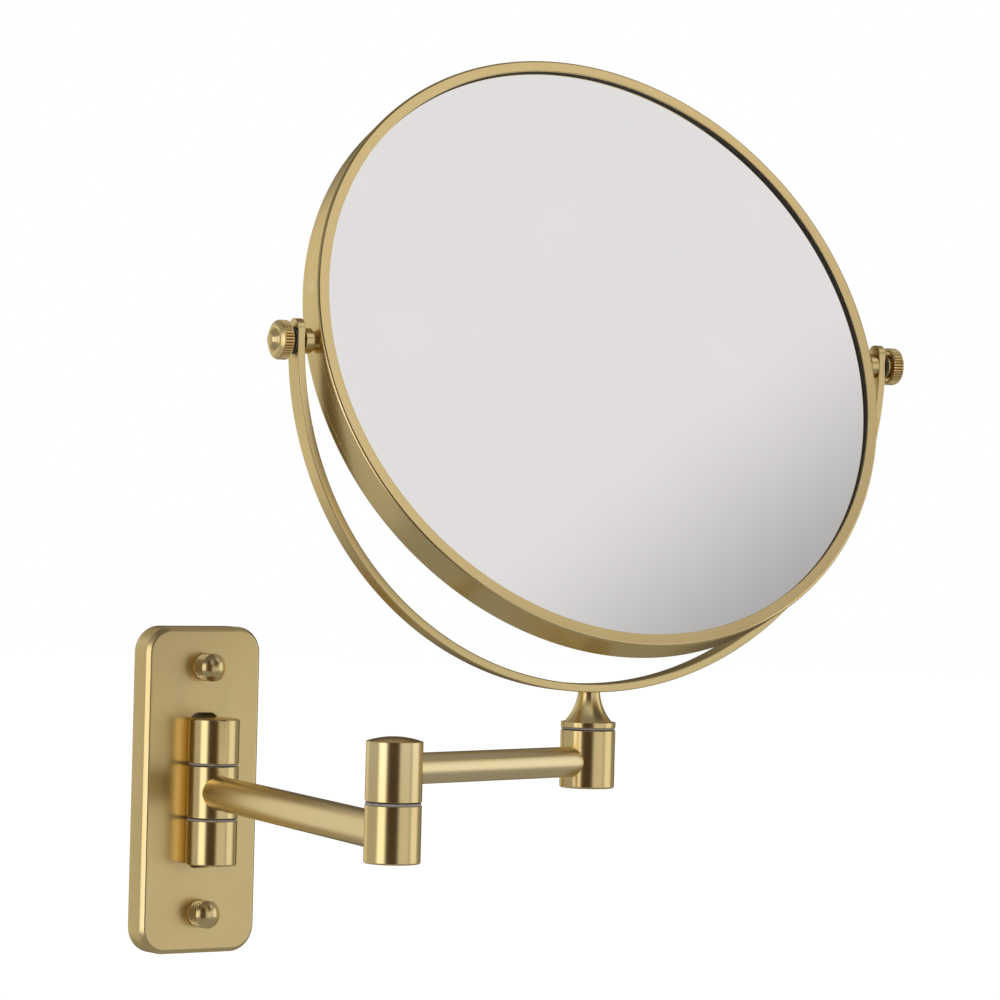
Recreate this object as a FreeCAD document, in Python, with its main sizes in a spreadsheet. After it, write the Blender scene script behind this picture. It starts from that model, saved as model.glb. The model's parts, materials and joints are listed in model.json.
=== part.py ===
import FreeCAD, Part
import math
import os
import re
import Sketcher

# Extendable shaving mirror for a wall, stored half folded with the glass tipped back.
# Frame: the origin is the middle of the wall face, +Z is up, +Y goes into the
# wall, and the object stands out towards -Y.  Lengths are in millimetres.

DIMENSIONS = {
    # backplate, a pressed cover over a bracket
    "plate_width": 49, "plate_height": 122, "plate_depth": 10.6,
    "plate_corner": 10, "plate_edge": 1.5, "plate_wall": 1.5,
    "slot_width": 11.8, "slot_height": 57.6, "slot_corner": 3.5,
    "bracket_width": 32, "bracket_height": 108, "bracket_thick": 3,
    "screw_spacing": 68, "screw_hole": 4.6,
    "stud_spacing": 92, "stud_width": 5, "stud_reach": 16,
    "thumb_width": 10.4, "thumb_side": 7, "thumb_rise": 2.2, "thumb_bevel": 0.4,
    # hinge barrels
    "wall_offset": 18.3, "barrel_width": 19, "barrel_round": 0.7,
    "knuckle_height": 19.3, "wall_gap": 1, "wall_barrel": 54.6,
    "elbow_gap": 1.2, "upper_barrel": 19.6, "elbow_rise": 1.9, "elbow_edge": 0.3,
    "end_barrel_low": 12.2, "end_barrel_high": 32.3,
    "pin_width": 8, "running": 0.05, "clearance": 0.3,
    "pin_head": 13, "pin_head_thick": 2,
    "pocket_width": 14, "pocket_floor": 11.2, "pocket_depth": 8.7,
    "nut_across": 12.4, "nut_thick": 4.2, "spring_width": 12, "spring_thick": 0.8,
    "cap_spigot": 2, "block_width": 9, "block_swing": 1.2,
    "pin_inset": 5, "blind_floor": 3, "plug_thick": 1.5, "washer_inset": 0.2,
    "washer_play": 0.1, "spindle_end": 0.6,
    # arms
    "arm_one": 192, "arm_one_width": 12.7, "arm_one_bore": 10.6,
    "arm_two": 97, "arm_two_width": 10.5, "arm_two_bore": 8.5, "arm_two_level": 21.4,
    # swivel neck and yoke
    "collar_low": 33.2, "collar_high": 35.1, "neck_top": 48.8,
    "neck_ring": 22, "neck_hollow": 18.3, "neck_ring_level": 47.2, "neck_blank": 16.6,
    "mirror_level": 162.8, "yoke_outer": 117.4, "yoke_inner": 114.5,
    "yoke_width": 7.5, "yoke_tip": 7.4, "yoke_tip_round": 3.6,
    # mirror, measured from its middle plane
    "rim_outer": 109.8, "rim_inner": 106.6, "band_half": 3.4,
    "lip_front": 6.6, "lip_inner": 105.6, "lip_low": 6, "shoulder_round": 1,
    "glass_front": 4.9, "glass_thick": 1.8, "glass_edge": 106.4,
    "gasket_inner": 105.8, "bowl_depth": 3.6,
    "board_edge": 100.5, "board_low": 0.9, "board_high": 2.6,
    # pivots, measured along the pivot axis from the mirror's middle
    "pivot_width": 4, "pivot_start": 102.6, "pivot_end": 123.6,
    "pivot_nut_width": 5.6, "pivot_nut_start": 103, "pivot_nut_thick": 3.2,
    "spacer_width": 8.6, "spacer_neck": 6.6, "spacer_step": 111.2,
    "yoke_washer_width": 9.2, "yoke_washer_thick": 0.7, "yoke_washer_gap": 0.1,
    "knob_width": 13.3, "knob_start": 119.6, "knob_neck_start": 118.5,
    "knob_neck": 8.4, "knob_recess": 10.8, "knob_recess_floor": 120.6,
    "knob_shoulder": 124.3, "knob_nose_base": 7.2, "knob_nose": 126.2,
    "knob_nose_width": 5.4, "knob_bevel": 0.6, "knob_bore_end": 124,
}
# Angles of the stored pose, in degrees.
ANGLES = {"arm_one_angle": -102.4, "arm_two_angle": 13.5, "yoke_angle": -5.6,
          "mirror_tilt": 21.9}

doc = FreeCAD.newDocument("shaving_mirror")
sheet = doc.addObject("Spreadsheet::Sheet", "Dims")
for row, (alias, size) in enumerate({**DIMENSIONS, **ANGLES}.items(), start=1):
    sheet.set("A%d" % row, alias)
    sheet.set("B%d" % row, str(size))
    sheet.setAlias("B%d" % row, alias)
doc.recompute()

ORIGIN = FreeCAD.Vector(0, 0, 0)
X_AXIS = FreeCAD.Vector(1, 0, 0)
Y_AXIS = FreeCAD.Vector(0, 1, 0)
Z_AXIS = FreeCAD.Vector(0, 0, 1)
sub_parts = []


# Helpers -------------------------------------------------------------------

def bound(text):
    """An expression over the sheet, from plain alias names."""
    return re.sub("[a-z][a-z_]*", lambda name: "Dims." + name.group(), text)


def number(text):
    """The value of an expression over the sheet."""
    return float(sheet.evalExpression(bound(text)))


def turn(axis, degrees):
    return FreeCAD.Placement(ORIGIN, FreeCAD.Rotation(axis, degrees))


def shift(x=0, y=0, z=0):
    return FreeCAD.Placement(FreeCAD.Vector(x, y, z), FreeCAD.Rotation())


def finish(piece, label, placement=None):
    """Name a finished sub-part and put it in its place."""
    piece.Label = label
    if placement is not None:
        piece.Placement = placement
    sub_parts.append(piece)
    return piece


def origin_plane(body, role):
    return next(item for item in body.Origin.OriginFeatures if item.Role == role)


def new_sketch(body, name, role):
    sketch = body.newObject("Sketcher::SketchObject", name)
    sketch.AttachmentSupport = [(origin_plane(body, role), "")]
    sketch.MapMode = "FlatFace"
    return sketch


def pin_point(sketch, curve, end, across, up):
    """Fix one end of a sketch curve at expressions for both directions."""
    for kind, text, axis in (("DistanceX", across, -2), ("DistanceY", up, -1)):
        if abs(number(text)) < 1e-9:
            sketch.addConstraint(Sketcher.Constraint("PointOnObject", curve, end, axis))
            continue
        index = sketch.addConstraint(
            Sketcher.Constraint(kind, -1, 1, curve, end, number(text)))
        sketch.setExpression("Constraints[%d]" % index, bound(text))


def outline(sketch, points, domed=None):
    """A closed outline through points given as expressions.

    The side that starts at the point numbered domed is an arc whose centre is
    on the sketch's upright axis.
    """
    places = [FreeCAD.Vector(number(across), number(up), 0) for across, up in points]
    count = len(points)
    for side in range(count):
        start, end = places[side], places[(side + 1) % count]
        if side == domed:
            rim, top = (start, end) if abs(end.x) < abs(start.x) else (end, start)
            rise = top.y - rim.y
            radius = (rim.x ** 2 + rise ** 2) / (2 * abs(rise))
            centre = FreeCAD.Vector(0, top.y - math.copysign(radius, rise), 0)
            angles = [math.atan2(point.y - centre.y, point.x) for point in (start, end)]
            circle = Part.Circle(centre, Z_AXIS, radius)
            sketch.addGeometry(Part.ArcOfCircle(circle, min(angles), max(angles)), False)
            sketch.addConstraint(Sketcher.Constraint("PointOnObject", side, 3, -2))
            first, last = (1, 2) if angles[0] < angles[1] else (2, 1)
        else:
            sketch.addGeometry(Part.LineSegment(start, end), False)
            first, last = 1, 2
        if side:
            sketch.addConstraint(Sketcher.Constraint("Coincident", side - 1, previous, side, first))
        else:
            opening = first
        previous = last
        pin_point(sketch, side, first, *points[side])
    sketch.addConstraint(Sketcher.Constraint("Coincident", count - 1, previous, 0, opening))


def round_rims(body, feature, size, rims):
    """Fillet the circular edges of given radius and height."""
    doc.recompute()
    chosen = []
    for radius, height in rims:
        for place, edge in enumerate(feature.Shape.Edges, start=1):
            curve = edge.Curve
            if not isinstance(curve, Part.Circle):
                continue
            centre = curve.Center
            on_axis = math.hypot(centre.x, centre.y) < 1e-4
            if on_axis and abs(curve.Radius - number(radius)) < 1e-3 \
                    and abs(centre.z - number(height)) < 1e-3:
                chosen.append("Edge%d" % place)
    if not chosen:
        raise RuntimeError("no rim found on " + body.Name)
    rounding = body.newObject("PartDesign::Fillet", body.Name + "_round")
    rounding.Base = (feature, chosen)
    rounding.setExpression("Radius", bound(size))
    body.Tip = rounding


def turned(label, points, placement=None, domed=None, rounds=(), round_size="barrel_round"):
    """A turned piece: an outline of (radius, height) revolved about Z."""
    body = doc.addObject("PartDesign::Body", label)
    sketch = new_sketch(body, label + "_outline", "XZ_Plane")
    outline(sketch, points, domed)
    doc.recompute()
    revolved = body.newObject("PartDesign::Revolution", label + "_turned")
    revolved.Profile = sketch
    revolved.ReferenceAxis = (sketch, ["V_Axis"])
    revolved.Angle = 360
    body.Tip = revolved
    if rounds:
        round_rims(body, revolved, round_size, rounds)
    return finish(body, label, placement)


def ring(label, outer, inner, low, high, placement):
    """A turned ring, or a plain disc where inner is 0."""
    points = [(inner, low), (outer, low), (outer, high), (inner, high)]
    return turned(label, points, placement)


def cylinder(name, radius, height, base=None):
    solid = doc.addObject("Part::Cylinder", name)
    solid.setExpression("Radius", bound(radius))
    solid.setExpression("Height", bound(height))
    if base is not None:
        solid.Placement = base
    return solid


def block(name, length, width, height, corner):
    """A box whose low corner is at three expressions."""
    solid = doc.addObject("Part::Box", name)
    for side, text in zip(("Length", "Width", "Height"), (length, width, height)):
        solid.setExpression(side, bound(text))
    for direction, text in zip("xyz", corner):
        solid.setExpression("Placement.Base." + direction, bound(text))
    return solid


def cut(name, base, *tools):
    """Base less each tool in turn."""
    for step, tool in enumerate(tools):
        difference = doc.addObject("Part::Cut", "%s_%d" % (name, step))
        difference.Base, difference.Tool = base, tool
        base = difference
    return base


def tube_between(label, length, width, bore, level, placement):
    """An arm tube along X, cut to the curve of the barrels at both ends."""
    along = turn(Y_AXIS, 90)
    lift = shift(z=number(level))
    outside = cylinder(label + "_outside", width + " / 2", length, lift * along)
    inside = cylinder(label + "_inside", bore + " / 2", length, lift * along)
    ends = []
    for side, place in (("near", 0), ("far", number(length))):
        foot = shift(x=place, z=number(level + " - barrel_width"))
        ends.append(cylinder(label + "_" + side, "barrel_width / 2", "2 * barrel_width", foot))
    return finish(cut(label + "_cut", outside, inside, *ends), label, placement)


# Places of the moving bodies in the stored pose -----------------------------

wall_axis = shift(y=-number("wall_offset"))
inner_arm_place = wall_axis * turn(Z_AXIS, number("arm_one_angle"))
elbow_axis = shift(*(inner_arm_place * shift(x=number("arm_one"))).Base)
outer_arm_place = elbow_axis * turn(Z_AXIS, number("arm_two_angle"))
end_axis = shift(*(outer_arm_place * shift(x=number("arm_two"))).Base)
yoke_place = end_axis * turn(Z_AXIS, number("yoke_angle"))
yoke_centre = yoke_place * shift(z=number("mirror_level"))
mirror_place = yoke_centre * turn(X_AXIS, -number("mirror_tilt"))
mirror_face = mirror_place * turn(X_AXIS, 90)
out_of_wall = turn(X_AXIS, 90)
SIDES = {"left": -90, "right": 90}


# Wall mount: bracket, cover, studs, thumb nuts ------------------------------

def wall_bracket():
    strip = block("bracket_strip", "bracket_width", "bracket_thick", "bracket_height",
                  ("-bracket_width / 2", "-bracket_thick", "-bracket_height / 2"))
    holes = []
    for side in (-1, 1):
        place = shift(y=1, z=side * number("screw_spacing / 2")) * out_of_wall
        holes.append(cylinder("screw_hole", "screw_hole / 2", "bracket_thick + 2", place))
    finish(cut("bracket_cut", strip, *holes), "wall_bracket")


def rounded_rectangle(sketch, width, height, radius):
    """A rectangle about the sketch's origin with four equal round corners."""
    half_width, half_height, corner = number(width) / 2, number(height) / 2, number(radius)
    inner_x, inner_y = half_width - corner, half_height - corner
    corners = [(1, 1, 0), (-1, 1, 90), (-1, -1, 180), (1, -1, 270)]
    for side_x, side_y, start in corners:
        centre = FreeCAD.Vector(side_x * inner_x, side_y * inner_y, 0)
        arc = Part.ArcOfCircle(Part.Circle(centre, Z_AXIS, corner),
                               math.radians(start), math.radians(start + 90))
        sketch.addGeometry(arc, False)
    ends = [(geometry.EndPoint, sketch.Geometry[(place + 1) % 4].StartPoint)
            for place, geometry in enumerate(sketch.Geometry)]
    for place, (start, end) in enumerate(ends):
        line = sketch.addGeometry(Part.LineSegment(start, end), False)
        sketch.addConstraint(Sketcher.Constraint("Tangent", place, 2, line, 1))
        sketch.addConstraint(Sketcher.Constraint("Tangent", line, 2, (place + 1) % 4, 1))
    for line in (4, 6):
        sketch.addConstraint(Sketcher.Constraint("Horizontal", line))
    for line in (5, 7):
        sketch.addConstraint(Sketcher.Constraint("Vertical", line))
    for arc in (1, 2, 3):
        sketch.addConstraint(Sketcher.Constraint("Equal", 0, arc))
    sketch.addConstraint(Sketcher.Constraint("Symmetric", 0, 3, 2, 3, -1, 1))
    for kind, first, second, text in (("DistanceX", 1, 0, width), ("DistanceY", 3, 0, height)):
        reach = text + " - 2 * " + radius
        index = sketch.addConstraint(
            Sketcher.Constraint(kind, first, 3, second, 3, number(reach)))
        sketch.setExpression("Constraints[%d]" % index, bound(reach))
    index = sketch.addConstraint(Sketcher.Constraint("Radius", 0, corner))
    sketch.setExpression("Constraints[%d]" % index, bound(radius))


def pocket(body, sketch, depth, name):
    """A pocket that goes from the wall face out to a depth."""
    before = body.Tip.Shape.Volume
    hollow = body.newObject("PartDesign::Pocket", name)
    hollow.Profile = sketch
    hollow.Reversed = True
    hollow.setExpression("Length", bound(depth))
    body.Tip = hollow
    doc.recompute()
    if hollow.Shape.isNull() or hollow.Shape.Volume > before - 1:
        raise RuntimeError(name + " cuts nothing")


def backplate():
    """Pressed cover: rounded front edge, hollow behind, slot and stud holes."""
    body = doc.addObject("PartDesign::Body", "backplate")
    sketch = new_sketch(body, "plate_outline", "XZ_Plane")
    rounded_rectangle(sketch, "plate_width", "plate_height", "plate_corner")
    pad = body.newObject("PartDesign::Pad", "plate_pad")
    pad.Profile = sketch
    pad.setExpression("Length", bound("plate_depth"))
    body.Tip = pad
    doc.recompute()
    front = [("Edge%d" % place) for place, edge in enumerate(pad.Shape.Edges, start=1)
             if edge.BoundBox.YMax < -number("plate_depth") + 0.01]
    edge_round = body.newObject("PartDesign::Fillet", "plate_edge_round")
    edge_round.Base = (pad, front)
    edge_round.setExpression("Radius", bound("plate_edge"))
    body.Tip = edge_round
    doc.recompute()
    hollow = new_sketch(body, "plate_hollow_outline", "XZ_Plane")
    rounded_rectangle(hollow, "plate_width - 2 * plate_wall", "plate_height - 2 * plate_wall",
                      "plate_corner - plate_wall")
    pocket(body, hollow, "plate_depth - plate_wall", "plate_hollow")
    slot = new_sketch(body, "plate_slot_outline", "XZ_Plane")
    rounded_rectangle(slot, "slot_width", "slot_height", "slot_corner")
    pocket(body, slot, "plate_depth", "plate_slot")
    studs = new_sketch(body, "plate_stud_holes", "XZ_Plane")
    for place, side in enumerate((1, -1)):
        level = "stud_spacing / 2" if side > 0 else "-stud_spacing / 2"
        centre = FreeCAD.Vector(0, number(level), 0)
        studs.addGeometry(Part.Circle(centre, Z_AXIS, number("stud_width / 2")), False)
        pin_point(studs, place, 3, "0", level)
        index = studs.addConstraint(
            Sketcher.Constraint("Radius", place, number("stud_width / 2 + clearance")))
        studs.setExpression("Constraints[%d]" % index, bound("stud_width / 2 + clearance"))
    pocket(body, studs, "plate_depth", "plate_stud_pocket")
    finish(body, "backplate")


def cover_fastening():
    """A stud and a domed thumb nut above and below the hinge."""
    for side, sign in (("upper", 1), ("lower", -1)):
        place = shift(z=sign * number("stud_spacing / 2")) * out_of_wall
        ring("cover_stud_" + side, "stud_width / 2", "0", "bracket_thick", "stud_reach", place)
        edge, radius = "plate_depth + thumb_side", "thumb_width / 2"
        shoulder = (radius + " - thumb_bevel", edge)
        points = [("stud_width / 2", "plate_depth"), (radius + " - thumb_bevel", "plate_depth"),
                  (radius, "plate_depth + thumb_bevel"), (radius, edge + " - thumb_bevel"),
                  shoulder, ("0", edge + " + thumb_rise"), ("0", "stud_reach"),
                  ("stud_width / 2", "stud_reach")]
        turned("thumb_nut_" + side, points, place, domed=4)


# Wall hinge -----------------------------------------------------------------

def hinge_block():
    """Block on the bracket whose two lugs reach the fixed knuckles."""
    low = ("-block_width / 2", "-wall_offset", "-wall_barrel / 2")
    body = block("block_body", "block_width", "wall_offset - bracket_thick", "wall_barrel", low)
    axis = wall_axis * shift(z=-number("wall_barrel"))
    knuckles = cylinder("block_knuckles", "barrel_width / 2", "2 * wall_barrel", axis)
    middle = wall_axis * shift(z=-number("knuckle_height / 2 + wall_gap"))
    swing = cylinder("block_swing", "barrel_width / 2 + block_swing",
                     "knuckle_height + 2 * wall_gap", middle)
    finish(cut("block_cut", body, knuckles, swing), "hinge_block")


def wall_hinge():
    radius, pin = "barrel_width / 2", "pin_width / 2"
    half, gap_end = "wall_barrel / 2", "(knuckle_height / 2 + wall_gap)"
    pin_top = "(wall_barrel / 2 - pin_inset)"
    upper = [(pin, gap_end), (radius, gap_end), (radius, half), ("0", half),
             ("0", pin_top), (pin, pin_top)]
    turned("upper_knuckle", upper, wall_axis, rounds=[(radius, half)])
    head, head_top = "pin_head / 2", "(-wall_barrel / 2 + pin_head_thick)"
    bottom = "-wall_barrel / 2"
    lower = [(pin, "-" + gap_end), (radius, "-" + gap_end), (radius, bottom),
             (head, bottom), (head, head_top), (pin, head_top)]
    turned("lower_knuckle", lower, wall_axis, rounds=[(radius, bottom)])
    pin_shape = [("0", bottom + " + clearance"), (head, bottom + " + clearance"),
                 (head, head_top), (pin, head_top), (pin, pin_top), ("0", pin_top)]
    turned("hinge_pin", pin_shape, wall_axis)
    thin = gap_end + " - wall_gap + clearance"
    outer, inner = radius + " - washer_inset", pin + " + washer_play"
    ring("hinge_washer_upper", outer, inner, thin, gap_end, wall_axis)
    ring("hinge_washer_lower", outer, inner, "-" + gap_end, "-(" + thin + ")", wall_axis)


# Inner arm ------------------------------------------------------------------

def inner_arm():
    radius, pin, half = "barrel_width / 2", "pin_width / 2", "knuckle_height / 2"
    ring("middle_knuckle", radius, pin + " + running", "-" + half, half, inner_arm_place)
    tube_between("inner_arm_tube", "arm_one", "arm_one_width", "arm_one_bore", "0",
                 inner_arm_place)
    blind = "-" + half + " + blind_floor"
    lower = [("0", "-" + half), (radius, "-" + half), (radius, half), (pin, half),
             (pin, blind), ("0", blind)]
    turned("elbow_lower_barrel", lower, elbow_axis, rounds=[(radius, "-" + half)])
    seat = half + " + elbow_gap + pocket_floor + clearance"
    spindle_top = seat + " + spring_thick + nut_thick + spindle_end"
    ring("elbow_spindle", pin, "0", blind, spindle_top, elbow_axis)
    ring("elbow_washer", radius + " - washer_inset", pin + " + washer_play", half,
         half + " + elbow_gap - clearance", elbow_axis)
    ring("elbow_spring_washer", "spring_width / 2", pin + " + washer_play", seat,
         seat + " + spring_thick", elbow_axis)
    lock_nut("elbow_lock_nut", seat + " + spring_thick", elbow_axis)


def lock_nut(label, low, axis):
    """A hexagon nut on a spindle."""
    hexagon = doc.addObject("Part::Prism", label + "_hexagon")
    hexagon.Polygon = 6
    hexagon.setExpression("Circumradius", bound("nut_across / 2"))
    hexagon.setExpression("Height", bound("nut_thick"))
    thread = cylinder(label + "_thread", "pin_width / 2", "nut_thick")
    finish(cut(label + "_cut", hexagon, thread), label, axis * shift(z=number(low)))


# Outer arm ------------------------------------------------------------------

def outer_arm():
    radius, bore = "barrel_width / 2", "pin_width / 2 + running"
    low = "(knuckle_height / 2 + elbow_gap)"
    high, floor = low + " + upper_barrel", low + " + pocket_floor"
    upper = [(bore, low), (radius, low), (radius, high), ("pocket_width / 2", high),
             ("pocket_width / 2", floor), (bore, floor)]
    turned("elbow_upper_barrel", upper, elbow_axis)
    cap = [("0", high + " - cap_spigot"), ("pocket_width / 2", high + " - cap_spigot"),
           ("pocket_width / 2", high), (radius, high), (radius, high + " + elbow_edge"),
           ("0", high + " + elbow_rise")]
    turned("elbow_cap", cap, elbow_axis, domed=4)
    tube_between("outer_arm_tube", "arm_two", "arm_two_width", "arm_two_bore",
                 "arm_two_level", outer_arm_place)
    bottom, top = "end_barrel_low", "end_barrel_high"
    ceiling = bottom + " + pocket_depth"
    end = [("pocket_width / 2", bottom), (radius, bottom), (radius, top), (bore, top),
           (bore, ceiling), ("pocket_width / 2", ceiling)]
    turned("end_barrel", end, end_axis, rounds=[(radius, bottom)])
    ring("end_barrel_plug", "pocket_width / 2", "0", bottom, bottom + " + plug_thick", end_axis)


# Swivel neck and yoke --------------------------------------------------------

def swivel():
    radius, pin = "barrel_width / 2", "pin_width / 2"
    ring("swivel_washer", radius + " - washer_inset", pin + " + washer_play",
         "end_barrel_high + clearance", "collar_low", yoke_place)
    collar = cylinder("neck_collar", radius, "collar_high - collar_low",
                      shift(z=number("collar_low")))
    flare = cylinder("neck_blank", "neck_blank / 2", "neck_top - collar_high",
                     shift(z=number("collar_high")))
    hollow = doc.addObject("Part::Torus", "neck_hollow")
    hollow.setExpression("Radius1", bound("neck_ring"))
    hollow.setExpression("Radius2", bound("neck_hollow"))
    hollow.setExpression("Placement.Base.z", bound("neck_ring_level"))
    strip = cylinder("neck_yoke_seat", "yoke_outer", "2 * barrel_width",
                     shift(y=number("barrel_width"), z=number("mirror_level")) * out_of_wall)
    waist = cut("neck_waist", flare, hollow, strip)
    neck = doc.addObject("Part::Fuse", "neck_fuse")
    neck.Base, neck.Tool = collar, waist
    finish(neck, "swivel_neck", yoke_place)
    seat = "end_barrel_low + pocket_depth - clearance"
    ring("swivel_spring_washer", "spring_width / 2", pin + " + washer_play",
         seat + " - spring_thick", seat, yoke_place)
    lock_nut("swivel_lock_nut", seat + " - spring_thick - nut_thick", yoke_place)
    ring("swivel_spindle", pin, "0", seat + " - spring_thick - nut_thick - spindle_end",
         "collar_low", yoke_place)


def yoke():
    """A bent strip: half a ring with straight tips that carry the pivots."""
    body = doc.addObject("PartDesign::Body", "yoke")
    sketch = new_sketch(body, "yoke_outline", "XZ_Plane")
    outer, inner, tip = number("yoke_outer"), number("yoke_inner"), number("yoke_tip")
    for radius in (outer, inner):
        half_ring = Part.ArcOfCircle(Part.Circle(ORIGIN, Z_AXIS, radius), math.pi, 2 * math.pi)
        sketch.addGeometry(half_ring, False)
    for place, (alias, arc) in enumerate((("yoke_outer", 0), ("yoke_inner", 1))):
        sketch.addConstraint(Sketcher.Constraint("Coincident", arc, 3, -1, 1))
        index = sketch.addConstraint(Sketcher.Constraint("Radius", arc, number(alias)))
        sketch.setExpression("Constraints[%d]" % index, bound(alias))
        for end in (1, 2):
            sketch.addConstraint(Sketcher.Constraint("PointOnObject", arc, end, -1))
    for side, end in ((-1, 1), (1, 2)):
        corners = [FreeCAD.Vector(side * outer, 0, 0), FreeCAD.Vector(side * outer, tip, 0),
                   FreeCAD.Vector(side * inner, tip, 0), FreeCAD.Vector(side * inner, 0, 0)]
        lines = [sketch.addGeometry(Part.LineSegment(first, second), False)
                 for first, second in zip(corners, corners[1:])]
        sketch.addConstraint(Sketcher.Constraint("Coincident", lines[0], 1, 0, end))
        sketch.addConstraint(Sketcher.Constraint("Coincident", lines[0], 2, lines[1], 1))
        sketch.addConstraint(Sketcher.Constraint("Coincident", lines[1], 2, lines[2], 1))
        sketch.addConstraint(Sketcher.Constraint("Coincident", lines[2], 2, 1, end))
        for line in (lines[0], lines[2]):
            sketch.addConstraint(Sketcher.Constraint("Vertical", line))
        sketch.addConstraint(Sketcher.Constraint("Horizontal", lines[1]))
        index = sketch.addConstraint(Sketcher.Constraint("DistanceY", -1, 1, lines[1], 1, tip))
        sketch.setExpression("Constraints[%d]" % index, bound("yoke_tip"))
    pad = body.newObject("PartDesign::Pad", "yoke_pad")
    pad.Profile = sketch
    pad.Midplane = True
    pad.setExpression("Length", bound("yoke_width"))
    body.Tip = pad
    doc.recompute()
    tips = []
    for place, edge in enumerate(pad.Shape.Edges, start=1):
        box = edge.BoundBox
        at_tip = box.ZMin > tip - 0.01 and box.XLength > 1 and box.YLength < 0.01
        if at_tip:
            tips.append("Edge%d" % place)
    rounding = body.newObject("PartDesign::Fillet", "yoke_tips")
    rounding.Base = (pad, tips)
    rounding.setExpression("Radius", bound("yoke_tip_round"))
    body.Tip = rounding
    doc.recompute()
    eye = new_sketch(body, "yoke_eye_outline", "YZ_Plane")
    eye.addGeometry(Part.Circle(ORIGIN, Z_AXIS, number("pivot_width / 2")), False)
    eye.addConstraint(Sketcher.Constraint("Coincident", 0, 3, -1, 1))
    eye_radius = "pivot_width / 2 + running"
    index = eye.addConstraint(Sketcher.Constraint("Radius", 0, number(eye_radius)))
    eye.setExpression("Constraints[%d]" % index, bound(eye_radius))
    eyes = body.newObject("PartDesign::Pocket", "yoke_eyes")
    eyes.Profile = eye
    eyes.Type = "ThroughAll"
    eyes.Midplane = True
    body.Tip = eyes
    finish(body, "yoke", yoke_centre)
    for side, angle in SIDES.items():
        near = "yoke_outer + yoke_washer_gap"
        ring("yoke_washer_" + side, "yoke_washer_width / 2", eye_radius, near,
             near + " + yoke_washer_thick", yoke_centre * turn(Y_AXIS, angle))


# Mirror -----------------------------------------------------------------------

def mirror():
    back = mirror_face * turn(X_AXIS, 180)
    ring("rim_band", "rim_outer", "rim_inner", "-band_half", "band_half", mirror_face)
    bezel = [("rim_inner", "band_half"), ("rim_outer", "band_half"),
             ("rim_outer", "lip_front"), ("lip_inner", "lip_front"),
             ("lip_inner", "lip_low"), ("rim_inner", "lip_low")]
    for name, place in (("front", mirror_face), ("rear", back)):
        turned(name + "_bezel", bezel, place, round_size="shoulder_round",
               rounds=[("rim_outer", "lip_front")])
        ring(name + "_gasket", "glass_edge", "gasket_inner", "glass_front", "lip_low", place)
    ring("plain_glass", "glass_edge", "0", "glass_front - glass_thick", "glass_front",
         mirror_face)
    bowl = cylinder("bowl_blank", "glass_edge", "glass_thick + bowl_depth",
                    shift(z=number("glass_front - glass_thick - bowl_depth")))
    # a glass of even thickness between two spheres about one centre
    radius = "(glass_edge ^ 2 / (2 * bowl_depth) + bowl_depth / 2)"
    centre = number("glass_front - bowl_depth + " + radius)
    face = doc.addObject("Part::Sphere", "bowl_face")
    face.setExpression("Radius", bound(radius))
    face.Placement = shift(z=centre)
    rear = doc.addObject("Part::Sphere", "bowl_rear")
    rear.setExpression("Radius", bound(radius + " + glass_thick"))
    rear.Placement = shift(z=centre)
    shell = doc.addObject("Part::Common", "bowl_shell")
    shell.Base, shell.Tool = bowl, rear
    finish(cut("bowl_cut", shell, face), "magnifying_glass", back)
    ring("backing_board", "board_edge", "0", "board_low", "board_high", mirror_face)


def pivots():
    for side, angle in SIDES.items():
        place = mirror_place * turn(Y_AXIS, angle)
        pin = "pivot_width / 2"
        ring("pivot_nut_" + side, "pivot_nut_width / 2", pin, "pivot_nut_start",
             "pivot_nut_start + pivot_nut_thick", place)
        ring("pivot_stud_" + side, pin, "0", "pivot_start", "pivot_end", place)
        spacer = [(pin, "rim_outer"), ("spacer_neck / 2", "rim_outer"),
                  ("spacer_neck / 2", "spacer_step"), ("spacer_width / 2", "spacer_step"),
                  ("spacer_width / 2", "yoke_inner - clearance"),
                  (pin, "yoke_inner - clearance")]
        turned("pivot_spacer_" + side, spacer, place)
        bore, radius = pin + " + running", "knob_width / 2"
        knob = [(bore, "knob_neck_start"), ("knob_neck / 2", "knob_neck_start"),
                ("knob_neck / 2", "knob_recess_floor"), ("knob_recess / 2", "knob_recess_floor"),
                ("knob_recess / 2", "knob_start"), (radius + " - knob_bevel", "knob_start"),
                (radius, "knob_start + knob_bevel"), (radius, "knob_shoulder - knob_bevel"),
                (radius + " - knob_bevel", "knob_shoulder"),
                ("knob_nose_base / 2", "knob_shoulder"),
                ("knob_nose_width / 2", "knob_nose"), ("0", "knob_nose"),
                ("0", "knob_bore_end"), (bore, "knob_bore_end")]
        turned(side + "_knob", knob, place)


def drill_band():
    """The rim band is drilled for the two pivot studs."""
    band = next(piece for piece in sub_parts if piece.Label == "rim_band")
    drill = new_sketch(band, "band_drill_outline", "YZ_Plane")
    drill.addGeometry(Part.Circle(ORIGIN, Z_AXIS, number("pivot_width / 2")), False)
    drill.addConstraint(Sketcher.Constraint("Coincident", 0, 3, -1, 1))
    index = drill.addConstraint(Sketcher.Constraint("Radius", 0, number("pivot_width / 2")))
    drill.setExpression("Constraints[%d]" % index, bound("pivot_width / 2"))
    holes = band.newObject("PartDesign::Pocket", "band_holes")
    holes.Profile = drill
    holes.Type = "ThroughAll"
    holes.Midplane = True
    band.Tip = holes


wall_bracket()
backplate()
cover_fastening()
hinge_block()
wall_hinge()
inner_arm()
outer_arm()
swivel()
yoke()
mirror()
pivots()
drill_band()
doc.recompute()

# Checks, then one file for each sub-part --------------------------------------

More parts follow.
